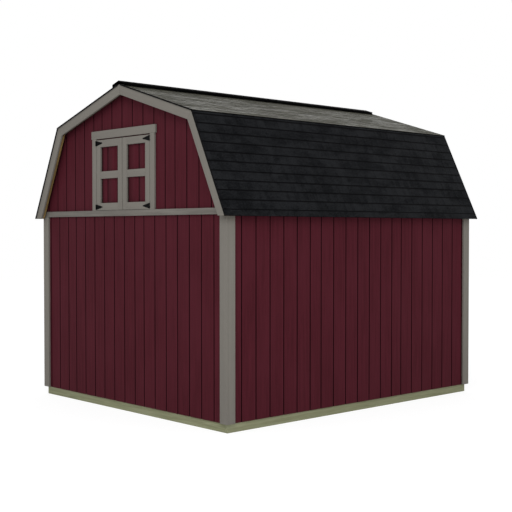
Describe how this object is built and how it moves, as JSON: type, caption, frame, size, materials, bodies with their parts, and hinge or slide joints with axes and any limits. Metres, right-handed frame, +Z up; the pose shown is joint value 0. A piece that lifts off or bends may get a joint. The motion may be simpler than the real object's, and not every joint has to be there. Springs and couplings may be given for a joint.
{
  "type": "eave-door gambrel shed",
  "caption": "Timber shed with a gambrel shingled roof, red grooved siding, grey trim, double loft doors in one gable and a double entrance door under an eave, on a treated floor frame.",
  "frame": {"origin": "on the ground under the middle of the building's bounding box", "axes": "+X along the ridge, away from the loft doors; +Y towards the entrance doors; +Z up"},
  "size_m": [4.512, 3.878, 3.9665],
  "materials": {
    "siding_red": "barn-red painted sheet siding, matt",
    "trim_grey": "taupe-grey painted boards, matt",
    "shingles_steep": "charcoal mineral-faced shingles",
    "shingles_shallow": "the same shingles, as they look on the shallow slope",
    "vent_black": "black, matt",
    "bare_lumber": "bare sawn softwood",
    "floor_sheet": "bare plywood",
    "treated_lumber": "green-grey pressure-treated softwood",
    "hinge_black": "black painted steel"
  },
  "bodies": {
    "root": {"long_floor_rims": "treated_lumber", "end_floor_rims": "treated_lumber", "floor_joists": "treated_lumber", "floor_deck": "floor_sheet", "long_wall_plates": "bare_lumber", "long_wall_studs": "bare_lumber", "entrance_header": "bare_lumber", "end_wall_plates": "bare_lumber", "end_wall_studs": "bare_lumber", "loft_joists": "bare_lumber", "loft_floor": "floor_sheet", "gable_studs": "bare_lumber", "loft_header": "bare_lumber", "lower_rafters": "bare_lumber", "upper_rafters": "bare_lumber", "ridge_board": "bare_lumber", "lower_rake_rafters": "bare_lumber", "back_upper_rake_rafters": "bare_lumber", "front_upper_rake_rafters": "bare_lumber", "back_siding": "siding_red", "front_siding": "siding_red", "loft_end_lower_siding": "siding_red", "plain_end_lower_siding": "siding_red", "loft_end_gable_siding": "siding_red", "plain_end_gable_siding": "siding_red", "gable_corner_boards": "trim_grey", "eave_corner_boards": "trim_grey", "band_boards": "trim_grey", "lower_rake_boards": "trim_grey", "back_upper_rake_boards": "trim_grey", "front_upper_rake_boards": "trim_grey", "lower_sheathing": "floor_sheet", "upper_sheathing": "floor_sheet", "back_lower_shingles": "shingles_steep", "front_lower_shingles": "shingles_steep", "back_upper_shingles": "shingles_shallow", "front_upper_shingles": "shingles_shallow", "ridge_vent": "vent_black", "loft_casing": "trim_grey", "loft_doors": "trim_grey", "loft_hinges": "hinge_black", "entrance_casing": "trim_grey", "entrance_doors": "trim_grey", "entrance_hinges": "hinge_black"}
  },
  "joints": []
}
